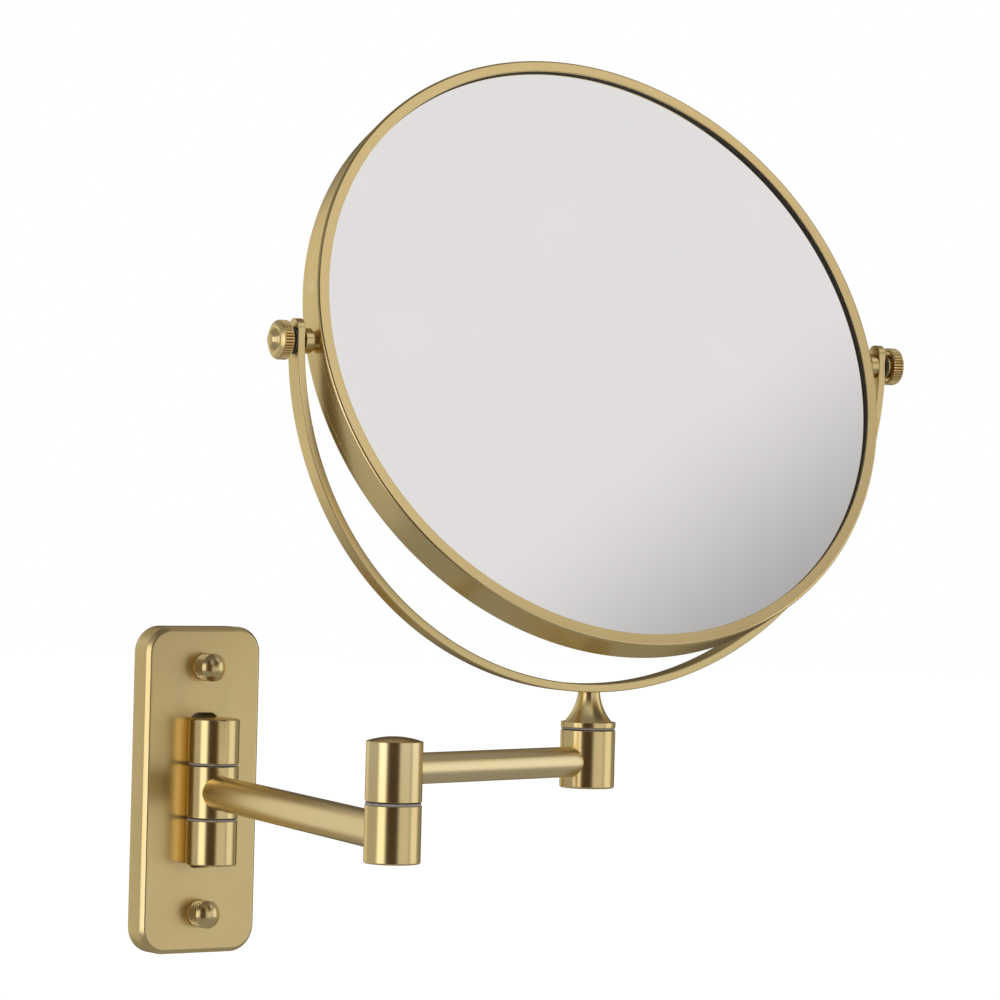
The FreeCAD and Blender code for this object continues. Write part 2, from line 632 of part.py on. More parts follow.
for item in doc.Objects:
    if "Invalid" in item.State or "Error" in item.State:
        raise RuntimeError(item.Name + " failed: " + str(item.State))
for piece in sub_parts:
    if piece.Shape.isNull() or not piece.Shape.isValid():
        raise RuntimeError(piece.Label + " has no valid shape")
labels = [piece.Label for piece in sub_parts]
if len(set(labels)) != len(labels):
    raise RuntimeError("two sub-parts share a label")

os.makedirs("parts", exist_ok=True)
for piece in sub_parts:
    piece.Shape.exportStep("parts/%s.step" % piece.Label)
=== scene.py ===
import json
import math

import bmesh
import bpy
import numpy
from mathutils import Matrix, Vector


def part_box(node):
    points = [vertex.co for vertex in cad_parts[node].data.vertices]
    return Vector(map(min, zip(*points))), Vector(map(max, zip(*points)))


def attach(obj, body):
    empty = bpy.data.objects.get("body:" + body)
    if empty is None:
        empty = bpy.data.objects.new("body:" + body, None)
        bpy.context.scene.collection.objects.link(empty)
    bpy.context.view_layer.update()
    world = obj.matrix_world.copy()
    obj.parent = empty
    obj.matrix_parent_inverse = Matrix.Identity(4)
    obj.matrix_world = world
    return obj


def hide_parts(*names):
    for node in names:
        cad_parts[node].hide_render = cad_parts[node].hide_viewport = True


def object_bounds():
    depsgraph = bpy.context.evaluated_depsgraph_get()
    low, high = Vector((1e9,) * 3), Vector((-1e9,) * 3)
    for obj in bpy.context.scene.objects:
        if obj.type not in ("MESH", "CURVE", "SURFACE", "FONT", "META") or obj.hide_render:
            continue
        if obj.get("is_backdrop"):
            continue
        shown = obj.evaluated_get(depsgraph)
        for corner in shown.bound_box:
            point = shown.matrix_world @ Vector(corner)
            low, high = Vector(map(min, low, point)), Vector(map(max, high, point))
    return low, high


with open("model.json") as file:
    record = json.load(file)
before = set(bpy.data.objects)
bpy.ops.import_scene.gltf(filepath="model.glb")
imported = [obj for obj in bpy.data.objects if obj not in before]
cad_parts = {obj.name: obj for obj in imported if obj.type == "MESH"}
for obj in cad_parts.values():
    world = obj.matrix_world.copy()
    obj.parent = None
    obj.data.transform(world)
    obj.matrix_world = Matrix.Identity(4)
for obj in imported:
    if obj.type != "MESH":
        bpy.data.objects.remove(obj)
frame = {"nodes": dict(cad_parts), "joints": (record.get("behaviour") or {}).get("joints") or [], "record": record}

MM = 0.001
GRAIN, ROUND_MAP = "grain", "round"
UP = Vector((0, 0, 1))
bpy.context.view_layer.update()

# Radii, thicknesses and levels of the CAD that no box gives, in millimetres.
PIN, PIN_BORE, WASHER_BORE = 4, 4.05, 4.1
POCKET, PIN_HEAD, PIN_HEAD_THICK = 7, 6.5, 2
STUD, STUD_BORE = 2, 2.05
PLATE_CORNER, PLATE_WALL = 10.0, 1.5
SLOT_WIDTH, SLOT_HEIGHT, SLOT_CORNER = 11.8, 57.6, 3.5
THUMB_RISE, CAP_EDGE, CAP_SPIGOT = 2.2, 0.3, 2
COLLAR_THICK, NECK_BLANK = 1.9, 8.3
NECK_RING, NECK_HOLLOW, NECK_RING_LEVEL = 22.0, 18.3, 47.2
YOKE_THICK, YOKE_HALF_WIDTH, YOKE_TIP_ROUND = 2.9, 3.75, 3.6
RIM_OUTER, RIM_INNER, BAND_HALF = 109.8, 106.6, 3.4
LIP_INNER, LIP_FRONT, LIP_LOW, GASKET_INNER = 105.6, 6.6, 6, 105.8
GLASS_EDGE, GLASS_FRONT, GLASS_THICK, BOWL_DEPTH = 106.4, 4.9, 1.8, 3.6
SPACER_NECK, SPACER_HEAD, SPACER_STEP, SPACER_END = 3.3, 4.3, 111.2, 114.2
KNOB, KNOB_NECK, KNOB_RECESS = 6.65, 4.2, 5.4
KNOB_NECK_START, KNOB_START, KNOB_FLOOR, KNOB_BORE_END = 118.5, 119.6, 120.6, 124
KNURL_START, KNURL_END, KNOB_SHOULDER, KNOB_NOSE = 120.1, 122.9, 124.3, 126.2

# Steps round the rim, and how far the edges of the barrels are rounded.
RIM_SEGMENTS, BARREL_ROUND, BARREL_EDGE, BORE_EDGE = 256, 0.8, 0.25, 0.2


# Places, all read from the frame ---------------------------------------------

def box_mm(node):
    """Centre and size of a CAD node's box, in millimetres."""
    low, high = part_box(node)
    return (low + high) / 2 / MM, (high - low) / MM


def level(node, end):
    """Height of a node's bottom (end 0) or top (end 1), in millimetres."""
    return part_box(node)[end].z / MM


def frame_at(centre, x_axis, z_axis):
    """A matrix at a point in millimetres, from its X and Z directions."""
    z = z_axis.normalized()
    x = (x_axis - x_axis.dot(z) * z).normalized()
    rotation = Matrix((x, z.cross(x), z)).transposed().to_4x4()
    return Matrix.Translation(centre * MM) @ rotation


def upright(node):
    """The frame of a vertical hinge axis: a node's centre, at height zero."""
    centre = box_mm(node)[0]
    return frame_at(Vector((centre.x, centre.y, 0)), Vector((1, 0, 0)), UP)


def face_normal(node):
    """The direction of a node's largest flat face that looks away from the wall."""
    faces = [face for face in frame["nodes"][node].data.polygons if face.normal.y < 0]
    return max(faces, key=lambda face: face.area).normal.copy()


TILT = next(joint for joint in frame["joints"] if joint["name"] == "mirror_tilt")
PIVOT, MIDDLE = Vector(TILT["axis"]), Vector(TILT["pos_m"]) / MM
OUTWARD = Vector((0, -1, 0))
SIDES = {"left": -1, "right": 1}

WALL = upright("middle_knuckle")
ELBOW = upright("elbow_lower_barrel")
END = upright("end_barrel")
YOKE = frame_at(MIDDLE, PIVOT, PIVOT.cross(UP))
MIRROR = frame_at(MIDDLE, PIVOT, face_normal("plain_glass"))
MIRROR_BACK = frame_at(MIDDLE, -PIVOT, -face_normal("plain_glass"))
BARREL = box_mm("middle_knuckle")[1].x / 2


# Materials --------------------------------------------------------------------

def new_material(name):
    """A material with its shader, its links and a helper that adds nodes.

    The helper links its sources to inputs by number or name, sets an input from
    an argument such as in_1, and sets any other argument on the node itself.
    """
    material = bpy.data.materials.new(name)
    material.use_nodes = True
    tree = material.node_tree
    shader = tree.nodes["Principled BSDF"]

    def add(kind, links=(), **settings):
        node = tree.nodes.new("ShaderNode" + kind)
        for key, value in settings.items():
            if key.startswith("in_"):
                node.inputs[int(key[3:])].default_value = value
            else:
                setattr(node, key, value)
        for source, place in links:
            tree.links.new(source, node.inputs[place])
        return node

    return material, shader, tree.links, add


def object_point(add):
    return add("TexCoord").outputs["Object"]


def grain_point(add):
    """A piece's own coordinates, kept from before it was put in its place."""
    return add("Attribute", attribute_name=GRAIN).outputs["Vector"]


def turned_grain(add, point, pitch):
    """Coordinates whose noise runs in rings about the piece's Z axis."""
    parts = add("SeparateXYZ", [(point, 0)])
    flat = add("CombineXYZ", [(parts.outputs[0], 0), (parts.outputs[1], 1)])
    radius = add("VectorMath", [(flat.outputs[0], 0)], operation="LENGTH")
    angle = add("Math", [(parts.outputs[1], 0), (parts.outputs[0], 1)], operation="ARCTAN2")
    scaled = [add("Math", [(source, 0)], operation="MULTIPLY", in_1=scale)
              for source, scale in ((radius.outputs["Value"], pitch), (parts.outputs[2], pitch),
                                    (angle.outputs[0], 3.0))]
    return add("CombineXYZ", [(node.outputs[0], place) for place, node in enumerate(scaled)])


def linear_grain(add, point, pitch, axis):
    """Coordinates whose noise is drawn out sixty times along one axis of the piece."""
    scale = [pitch] * 3
    scale["XYZ".index(axis)] = pitch / 60
    return add("Mapping", [(point, 0)], in_3=scale)


BRASS = ((0.755, 0.585, 0.280, 1), (0.785, 0.615, 0.303, 1))
# Darker, duller brass: painted shade for the parts that sit in shade behind the barrels.
PAINTED_SHADE_BRASS = ((0.60, 0.475, 0.250, 1), (0.64, 0.510, 0.275, 1))


def satin_brass(name, grain, roughness, anisotropy, axis="Z", place=grain_point, tones=BRASS):
    """Brushed brass under clear lacquer: fine grain, cloudy tone, and a painted highlight on its sharp edges."""
    material, shader, links, add = new_material(name)
    point = place(add)
    if grain == "turned":
        lines = turned_grain(add, point, 2600.0)
    else:
        lines = linear_grain(add, point, 3200.0, axis)
    brush = add("TexNoise", [(lines.outputs[0], 0)], in_2=1.0, in_3=3.0, in_4=0.55)
    cloud = add("TexNoise", [(point, 0)], in_2=38.0, in_3=3.0, in_4=0.5)
    edges = add("NewGeometry").outputs["Pointiness"]

    tone = add("ValToRGB", [(cloud.outputs[0], 0)])
    tone.color_ramp.elements[0].position, tone.color_ramp.elements[1].position = 0.3, 0.7
    tone.color_ramp.elements[0].color, tone.color_ramp.elements[1].color = tones
    fine = add("MapRange", [(brush.outputs[0], 0)], in_1=0.3, in_2=0.7, in_3=0.985, in_4=1.015)
    lined = add("VectorMath", [(tone.outputs[0], 0), (fine.outputs[0], 1)], operation="MULTIPLY")
    # Painted highlight: pointy edges are mixed toward a pale brass colour.
    edge_highlight = add("MapRange", [(edges, 0)], in_1=0.53, in_2=0.62, in_3=0.0, in_4=0.45)
    colour = add("Mix", [(edge_highlight.outputs[0], 0), (lined.outputs[0], 6)], data_type="RGBA")
    colour.inputs[7].default_value = (0.93, 0.82, 0.55, 1)
    links.new(colour.outputs[2], shader.inputs["Base Color"])

    rough = add("MapRange", [(brush.outputs[0], 0)], in_1=0.25, in_2=0.75,
                in_3=roughness - 0.02, in_4=roughness + 0.02)
    patch = add("MapRange", [(cloud.outputs[0], 0)], in_1=0.3, in_2=0.7, in_3=-0.01, in_4=0.01)
    total = add("Math", [(rough.outputs[0], 0), (patch.outputs[0], 1)], operation="ADD")
    links.new(total.outputs[0], shader.inputs["Roughness"])

    bump = add("Bump", [(brush.outputs[0], 2)], in_0=0.05, in_1=0.00001)
    links.new(bump.outputs[0], shader.inputs["Normal"])
    tangent = add("Tangent", direction_type="UV_MAP", uv_map=ROUND_MAP)
    links.new(tangent.outputs[0], shader.inputs["Tangent"])
    shader.inputs["Metallic"].default_value = 1.0
    shader.inputs["Specular Tint"].default_value = (0.96, 0.86, 0.64, 1)
    shader.inputs["Anisotropic"].default_value = anisotropy
    shader.inputs["Anisotropic Rotation"].default_value = 0.25 if grain == "turned" else 0.0
    return material


def mirror_glass():
    """Silvered glass: a very smooth mirror with a faint haze."""
    material, shader, links, add = new_material("mirror_glass")
    point = object_point(add)
    haze = add("TexNoise", [(point, 0)], in_2=22.0, in_3=4.0, in_4=0.6)
    tint = add("ValToRGB", [(haze.outputs[0], 0)])
    tint.color_ramp.elements[0].color = (0.875, 0.88, 0.875, 1)
    tint.color_ramp.elements[1].color = (0.905, 0.91, 0.905, 1)
    links.new(tint.outputs[0], shader.inputs["Base Color"])
    rough = add("MapRange", [(haze.outputs[0], 0)], in_1=0.3, in_2=0.7, in_3=0.015, in_4=0.035)
    links.new(rough.outputs[0], shader.inputs["Roughness"])
    shader.inputs["Metallic"].default_value = 1.0
    return material


def moulded(name, dark, light, roughness, grain):
    """A dull moulded or sheet material with fine grain."""
    material, shader, links, add = new_material(name)
    point = object_point(add)
    noise = add("TexNoise", [(point, 0)], in_2=grain, in_3=5.0, in_4=0.6)
    tone = add("ValToRGB", [(noise.outputs[0], 0)])
    tone.color_ramp.elements[0].position, tone.color_ramp.elements[1].position = 0.35, 0.65
    tone.color_ramp.elements[0].color = (*dark, 1)
    tone.color_ramp.elements[1].color = (*light, 1)
    links.new(tone.outputs[0], shader.inputs["Base Color"])
    rough = add("MapRange", [(noise.outputs[0], 0)], in_1=0.3, in_2=0.7,
                in_3=roughness - 0.06, in_4=roughness + 0.06)
    links.new(rough.outputs[0], shader.inputs["Roughness"])
    bump = add("Bump", [(noise.outputs[0], 2)], in_0=0.2, in_1=0.00008)
    links.new(bump.outputs[0], shader.inputs["Normal"])
    return material


def zinc_steel():
    """Bright zinc plating with its cloudy crystals."""
    material, shader, links, add = new_material("zinc_steel")
    point = object_point(add)
    grains = add("TexVoronoi", [(point, 0)], in_2=900.0)
    cloud = add("TexNoise", [(point, 0)], in_2=160.0, in_3=4.0, in_4=0.6)
    mixed = add("Mix", [(grains.outputs[1], 6), (cloud.outputs[1], 7)], data_type="RGBA", in_0=0.6)
    grey = add("RGBToBW", [(mixed.outputs[2], 0)])
    tone = add("ValToRGB", [(grey.outputs[0], 0)])
    tone.color_ramp.elements[0].position, tone.color_ramp.elements[1].position = 0.3, 0.7
    tone.color_ramp.elements[0].color = (0.50, 0.51, 0.52, 1)
    tone.color_ramp.elements[1].color = (0.66, 0.67, 0.69, 1)
    links.new(tone.outputs[0], shader.inputs["Base Color"])
    rough = add("MapRange", [(grey.outputs[0], 0)], in_1=0.3, in_2=0.7, in_3=0.28, in_4=0.44)
    links.new(rough.outputs[0], shader.inputs["Roughness"])
    shader.inputs["Metallic"].default_value = 1.0
    return material


TURNED = satin_brass("satin_brass_turned", "turned", 0.24, 0.4)
TUBE = satin_brass("satin_brass_along", "linear", 0.30, 0.3, "X")
PLATE = satin_brass("satin_brass_plate", "linear", 0.32, 0.2, "Y")
# Painted shade: the hinge block and the other kept brass CAD nodes get the darker brass tones.
PAINTED_SHADE_BLOCK = satin_brass("satin_brass_block_painted_shade", "linear", 0.5, 0.0, "Z", object_point, PAINTED_SHADE_BRASS)
MIRROR_GLASS = mirror_glass()
ZINC = zinc_steel()
NYLON = moulded("grey_nylon", (0.235, 0.215, 0.20), (0.31, 0.285, 0.265), 0.5, 700.0)
RUBBER = moulded("dark_rubber", (0.030, 0.026, 0.021), (0.055, 0.048, 0.040), 0.62, 900.0)
BACKING = moulded("backing_board", (0.035, 0.035, 0.037), (0.06, 0.06, 0.063), 0.7, 500.0)
FINISHES = {"satin_brass": PAINTED_SHADE_BLOCK, "zinc_steel": ZINC, "grey_nylon": NYLON,
            "dark_rubber": RUBBER, "mirror_glass": MIRROR_GLASS, "backing": BACKING}


# Mesh helpers -----------------------------------------------------------------

def keep_grain(mesh):
    """Keep a mesh's own coordinates for its grain, and a map that runs round its Z axis."""
    flat = numpy.empty(3 * len(mesh.vertices), dtype=numpy.float32)
    mesh.vertices.foreach_get("co", flat)
    mesh.attributes.new(GRAIN, "FLOAT_VECTOR", "POINT").data.foreach_set("vector", flat)
    index = numpy.empty(len(mesh.loops), dtype=numpy.int32)
    mesh.loops.foreach_get("vertex_index", index)
    starts = numpy.empty(len(mesh.polygons), dtype=numpy.int32)
    totals = numpy.empty(len(mesh.polygons), dtype=numpy.int32)
    mesh.polygons.foreach_get("loop_start", starts)
    mesh.polygons.foreach_get("loop_total", totals)
    corners = flat.reshape(-1, 3)[index]
    middles = numpy.add.reduceat(corners, starts) / totals[:, None]
    middle = numpy.repeat(numpy.arctan2(middles[:, 1], middles[:, 0]), totals)
    angle = numpy.arctan2(corners[:, 1], corners[:, 0]) - middle
    angle -= 2 * math.pi * numpy.round(angle / (2 * math.pi))
    angle[numpy.hypot(corners[:, 0], corners[:, 1]) < 1e-7] = 0
    places = numpy.stack(((middle + angle) / (2 * math.pi), corners[:, 2] / 0.1), axis=1)
    mesh.uv_layers.new(name=ROUND_MAP).data.foreach_set("uv", places.astype("f").ravel())


def add_piece(name, mesh, place, material, body, nodes):
    """Put a mesh's points in their place, and say what it rides on and replaces."""
    keep_grain(mesh)
    mesh.transform(place)
    piece = bpy.data.objects.new(name, mesh)
    bpy.context.scene.collection.objects.link(piece)
    mesh.materials.append(material)
    normals = piece.modifiers.new("flat_faces", "WEIGHTED_NORMAL")
    normals.mode, normals.keep_sharp = "FACE_AREA", True
    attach(piece, body)
    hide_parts(*nodes)


def to_mesh(name, points, faces, crease=40):
    """A mesh from points in millimetres, smooth except over sharp edges."""
    mesh = bpy.data.meshes.new(name)
    mesh.from_pydata([Vector(point) * MM for point in points], [], faces)
    edit = bmesh.new()
    edit.from_mesh(mesh)
    bmesh.ops.remove_doubles(edit, verts=edit.verts, dist=1e-7)
    bmesh.ops.recalc_face_normals(edit, faces=edit.faces)
    edit.to_mesh(mesh)
    edit.free()
    mesh.shade_smooth()
    mesh.set_sharp_from_angle(angle=math.radians(crease))
    return mesh


def rounded(corners, closed=True, steps=5):
    """Points of an outline whose corners (r, z, radius) are rounded off."""
    points = []
    count = len(corners)
    for place, (r, z, radius) in enumerate(corners):
        here = Vector((r, z))
        if not radius or (not closed and place in (0, count - 1)):
            points.append((r, z))
            continue
        before = (Vector(corners[place - 1][:2]) - here).normalized()
        after = (Vector(corners[(place + 1) % count][:2]) - here).normalized()
        half = before.angle(after) / 2
        reach = radius / math.tan(half)
        middle = here + (before + after).normalized() * (radius / math.sin(half))
        start, end = here + before * reach - middle, here + after * reach - middle
        sweep = start.angle_signed(end)
        for step in range(steps + 1):
            turn = -sweep * step / steps
            points.append((middle.x + start.x * math.cos(turn) - start.y * math.sin(turn),
                           middle.y + start.x * math.sin(turn) + start.y * math.cos(turn)))
    return points


def arc_points(centre, radius, first, last, steps):
    """Points of an arc between two angles in degrees."""
    return [(centre[0] + radius * math.cos(math.radians(first + (last - first) * step / steps)),
             centre[1] + radius * math.sin(math.radians(first + (last - first) * step / steps)))
            for step in range(steps + 1)]


def lathe_mesh(name, profile, segments=96, closed=True, shape=None, crease=40):
    """Turn an outline of (r, z) about Z; shape may move each point."""
    points, faces, rings = [], [], []
    for r, z in profile:
        if r < 1e-6:
            rings.append([len(points)])
            points.append((0, 0, z))
            continue
        rings.append(list(range(len(points), len(points) + segments)))
        for step in range(segments):
            turn = 2 * math.pi * step / segments
            place = (r, z) if shape is None else shape(r, z, turn)
            points.append((place[0] * math.cos(turn), place[0] * math.sin(turn), place[1]))
    pairs = list(zip(rings, rings[1:] + rings[:1])) if closed else list(zip(rings, rings[1:]))
    for first, second in pairs:
        for step in range(segments):
            after = (step + 1) % segments
            if len(first) == 1 and len(second) == 1:
                break
            if len(first) == 1:
                faces.append((first[0], second[after], second[step]))
            elif len(second) == 1:
                faces.append((first[step], first[after], second[0]))
            else:
                faces.append((first[step], first[after], second[after], second[step]))
    return to_mesh(name, points, faces, crease)


def lathe(name, profile, place, material, body, slot, nodes, **options):
    """Turn an outline about the Z axis of a place, and add it as a piece."""
    add_piece(name, lathe_mesh(name, profile, **options), place, material, body, nodes)


def loft(name, loops, cap=False):
    """A skin over loops of equal length: closed on itself, or with both ends capped."""
    points = [point for loop in loops for point in loop]
    size = len(loops[0])
    faces = []
    pairs = zip(range(len(loops)), range(1, len(loops)) if cap else [*range(1, len(loops)), 0])
    for first, second in pairs:
        for step in range(size):
            after = (step + 1) % size
            faces.append((first * size + step, first * size + after,
                          second * size + after, second * size + step))
    if cap:
        last = (len(loops) - 1) * size
        faces += [tuple(range(size)), tuple(range(last, last + size))]
    return to_mesh(name, points, faces)


# Wall mount -------------------------------------------------------------------

def rectangle_loop(width, height, corner, depth, steps=12):
    """A loop round a rectangle with round corners, at one depth."""
    loop = []
    for side_x, side_y, start in ((1, 1, 0), (-1, 1, 90), (-1, -1, 180), (1, -1, 270)):
        centre = (side_x * (width / 2 - corner), side_y * (height / 2 - corner))
        loop += [(x, y, depth) for x, y in arc_points(centre, corner, start, start + 90, steps)]
    return loop


def backplate():
    """Pressed cover: sloping front edge, slot with a turned-in rim, hollow back."""
    size = box_mm("backplate")[1]
    width, depth, height = size.x, size.y, size.z
    soft_slope, turned_in, soft_wall = 0.9, 0.35, 0.8

    def outside(inset, z):
        return rectangle_loop(width - 2 * inset, height - 2 * inset, PLATE_CORNER - inset, z)

    def opening(grow, z):
        return rectangle_loop(SLOT_WIDTH + 2 * grow, SLOT_HEIGHT + 2 * grow,
                              SLOT_CORNER + grow, z)

    loops = [outside(0.3, 0), outside(0.09, 0.09), outside(0, 0.3)]
    slope = rounded([(0, depth - 4, 0), (0, depth - 1.9, soft_slope), (1.4, depth, soft_slope),
                     (2.6, depth, 0), (6.5, depth, 0)], closed=False)
    loops += [outside(inset, z) for inset, z in slope]
    loops += [opening(turned_in, depth), opening(turned_in * 0.3, depth - turned_in * 0.3),
              opening(0, depth - turned_in), opening(0, depth - PLATE_WALL),
              outside(PLATE_WALL + soft_wall, depth - PLATE_WALL),
              outside(PLATE_WALL, depth - PLATE_WALL - soft_wall), outside(PLATE_WALL, 0)]
    centre = box_mm("backplate")[0]
    place = frame_at(Vector((centre.x, 0, centre.z)), Vector((1, 0, 0)), OUTWARD)
    add_piece("backplate_cover", loft("backplate_cover", loops), place, PLATE,
              "wall_mount", ["backplate"])


def diamond_knurl(radius, low, high, starts, depth):
    """A shape function: two sets of crossed helical grooves on a rim."""
    run_out, groove = 0.3, 0.7

    def shape(r, z, turn):
        if r < radius - 0.01 or not low <= z <= high:
            return r, z
        lean = (z - low) / radius
        first = abs(math.sin(starts * (turn + lean) / 2))
        second = abs(math.sin(starts * (turn - lean) / 2))
        fade = min(1, (z - low) / run_out, (high - z) / run_out)
        cut = max(0, 1 - min(first, second) / groove)
        return r - depth * fade * cut, z
    return shape


def thumb_nuts():
    """Domed thumb nuts with a diamond knurl and a bright bevel."""
    for side in ("upper", "lower"):
        node = "thumb_nut_" + side
        centre, size = box_mm(node)
        place = frame_at(Vector((centre.x, 0, centre.z)), Vector((1, 0, 0)), OUTWARD)
        start, end = -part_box(node)[1].y / MM, -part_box(node)[0].y / MM
        radius, bevel, rows = size.x / 2, 0.55, 52
        shoulder = end - THUMB_RISE
        side_rows = [(radius, start + bevel + (shoulder - start - 2 * bevel) * row / rows)
                     for row in range(rows + 1)]
        rim = radius - bevel
        ball = (rim ** 2 + THUMB_RISE ** 2) / (2 * THUMB_RISE)
        reach = math.degrees(math.asin(rim / ball))
        dome = arc_points((0, end - ball), ball, 90 - reach, 90, 14)
        profile = [(0, start), (rim, start), *side_rows, *dome[:-1], (0, end)]
        knurl = diamond_knurl(radius, start + bevel, shoulder - bevel, starts=24, depth=0.6)
        lathe(node + "_brass", profile, place, TURNED, "wall_mount", "satin_brass", [node],
              segments=416, closed=False, shape=knurl, crease=30)


def wall_hinge():
    """Two fixed knuckles with rounded outer ends."""
    low, high = level("upper_knuckle", 0), level("upper_knuckle", 1)
    pin_top = high - 5
    profile = rounded([(0, high, 0), (BARREL, high, BARREL_ROUND), (BARREL, low, BARREL_EDGE),
                       (PIN, low, BORE_EDGE), (PIN, pin_top, 0), (0, pin_top, 0)], closed=False)
    lathe("upper_knuckle_brass", profile, WALL, TURNED, "wall_mount", "satin_brass",
          ["upper_knuckle"], closed=False)
    low, high = level("lower_knuckle", 0), level("lower_knuckle", 1)
    head_top = low + PIN_HEAD_THICK
    profile = rounded([(PIN, high, BORE_EDGE), (BARREL, high, BARREL_EDGE),
                       (BARREL, low, BARREL_ROUND), (PIN_HEAD, low, BORE_EDGE),
                       (PIN_HEAD, head_top, 0), (PIN, head_top, 0)])
    lathe("lower_knuckle_brass", profile, WALL, TURNED, "wall_mount", "satin_brass",
          ["lower_knuckle"])


def washers():
    """Nylon washers between the barrels, each with softened rims."""
    for node, place, body in (("hinge_washer_upper", WALL, "wall_mount"),
                              ("hinge_washer_lower", WALL, "wall_mount"),
                              ("elbow_washer", ELBOW, "inner_arm"),
                              ("swivel_washer", END, "swivel")):
        low, high = level(node, 0), level(node, 1)
        radius = box_mm(node)[1].x / 2
        profile = rounded([(WASHER_BORE, low, 0.05), (radius, low, 0.15), (radius, high, 0.15),
                           (WASHER_BORE, high, 0.05)], steps=3)
        lathe(node + "_nylon", profile, place, NYLON, body, "grey_nylon", [node])


# Arms -------------------------------------------------------------------------

def arm_tube(node, near, far, bore_wall, body):
    """A drawn tube whose ends are notched round both barrels."""
    centre, size = box_mm(node)
    start, end = near.translation / MM, far.translation / MM
    length = (end - start).length
    radius, segments = size.z / 2, 96
    along = end - start
    place = frame_at(Vector((start.x, start.y, centre.z)), UP, along)
    loops = []
    for bore, order in ((0, (0, 1)), (bore_wall, (1, 0))):
        for far_end in order:
            loop = []
            for step in range(segments):
                turn = 2 * math.pi * step / segments
                y = (radius - bore) * math.cos(turn)
                z = (radius - bore) * math.sin(turn)
                notch = math.sqrt(BARREL ** 2 - y ** 2)
                loop.append((z, y, length - notch if far_end else notch))
            loops.append(loop)
    add_piece(node + "_brass", loft(node, loops), place, TUBE, body, [node])


def inner_arm():
    """Middle knuckle, lower elbow barrel and the thick tube between them."""
    low, high = level("middle_knuckle", 0), level("middle_knuckle", 1)
    profile = rounded([(PIN_BORE, low, BORE_EDGE), (BARREL, low, 0.3), (BARREL, high, 0.3),
                       (PIN_BORE, high, BORE_EDGE)])
    lathe("middle_knuckle_brass", profile, WALL, TURNED, "inner_arm", "satin_brass",
          ["middle_knuckle"])
    low, high = level("elbow_lower_barrel", 0), level("elbow_lower_barrel", 1)
    blind = low + 3
    profile = rounded([(0, low, 0), (BARREL, low, 0.7), (BARREL, high, BARREL_EDGE),
                       (PIN, high, BORE_EDGE), (PIN, blind, 0), (0, blind, 0)], closed=False)
    lathe("elbow_lower_barrel_brass", profile, ELBOW, TURNED, "inner_arm", "satin_brass",
          ["elbow_lower_barrel"], closed=False)
    arm_tube("inner_arm_tube", WALL, ELBOW, 1.05, "inner_arm")


def outer_arm():
    """Upper elbow barrel under a low domed cap, the thin tube, the end barrel."""
    low, seam = level("elbow_upper_barrel", 0), level("elbow_upper_barrel", 1)
    floor_level = low + 11.2
    profile = rounded([(PIN_BORE, low, BORE_EDGE), (BARREL, low, BARREL_EDGE), (BARREL, seam, 0),
                       (POCKET, seam, 0), (POCKET, floor_level, 0), (PIN_BORE, floor_level, 0)])
    lathe("elbow_upper_barrel_brass", profile, ELBOW, TURNED, "outer_arm", "satin_brass",
          ["elbow_upper_barrel"])
    top = level("elbow_cap", 1)
    rim, rise, soften = seam + CAP_EDGE, top - seam - CAP_EDGE, 0.35
    ball = (BARREL ** 2 + rise ** 2) / (2 * rise)
    reach = math.degrees(math.asin((BARREL - soften) / ball))
    dome = arc_points((0, top - ball), ball, 90 - reach, 90, 16)
    bend = rounded([(BARREL, seam, 0), (BARREL, rim + 0.02, 0.3), dome[0] + (0,)], closed=False)
    foot = seam - CAP_SPIGOT
    profile = [(0, foot), (POCKET, foot), (POCKET, seam), *bend, *dome[1:-1], (0, top)]
    lathe("elbow_cap_brass", profile, ELBOW, TURNED, "outer_arm", "satin_brass", ["elbow_cap"],
          closed=False, crease=60)
    low, high = level("end_barrel", 0), level("end_barrel", 1)
    ceiling = low + 8.7
    profile = rounded([(POCKET, low, 0), (BARREL, low, BARREL_ROUND), (BARREL, high, BARREL_EDGE),
                       (PIN_BORE, high, BORE_EDGE), (PIN_BORE, ceiling, 0), (POCKET, ceiling, 0)])
    lathe("end_barrel_brass", profile, END, TURNED, "outer_arm", "satin_brass", ["end_barrel"])
    low, high = level("end_barrel_plug", 0), level("end_barrel_plug", 1)
    profile = rounded([(0, low, 0), (POCKET, low, 0.25), (POCKET, high, 0.1), (0, high, 0)],
                      closed=False)
    lathe("end_barrel_plug_brass", profile, END, TURNED, "outer_arm", "satin_brass",
          ["end_barrel_plug"], closed=False)
    arm_tube("outer_arm_tube", ELBOW, END, 1.0, "outer_arm")


# Swivel -----------------------------------------------------------------------

def swivel_neck():
    """Collar and a hollow-sided neck whose top is cut to the yoke's curve."""
    low, top = level("swivel_neck", 0), level("swivel_neck", 1)
    collar = low + COLLAR_THICK
    foot_drop = math.sqrt(NECK_HOLLOW ** 2 - (NECK_RING - NECK_BLANK) ** 2)
    first = math.degrees(math.atan2(-foot_drop, NECK_BLANK - NECK_RING))
    rise = top - NECK_RING_LEVEL
    last = math.degrees(math.atan2(rise, -math.sqrt(NECK_HOLLOW ** 2 - rise ** 2)))
    side = arc_points((NECK_RING, NECK_RING_LEVEL), NECK_HOLLOW, first % 360, last % 360, 28)
    outer = MIDDLE.z - level("yoke", 0)

    def seat(r, z, turn):
        return r, min(z, MIDDLE.z - math.sqrt(outer ** 2 - (r * math.cos(turn)) ** 2))

    rim = rounded([(0, low, 0), (BARREL, low, BARREL_EDGE), (BARREL, collar, 0.2),
                   (NECK_BLANK, collar, 0)], closed=False, steps=4)
    profile = [*rim, *side, (2, top), (0, top)]
    place = frame_at(END.translation / MM, PIVOT, UP)
    lathe("swivel_neck_brass", profile, place, TURNED, "swivel", "satin_brass", ["swivel_neck"],
          closed=False, shape=seat, crease=50)


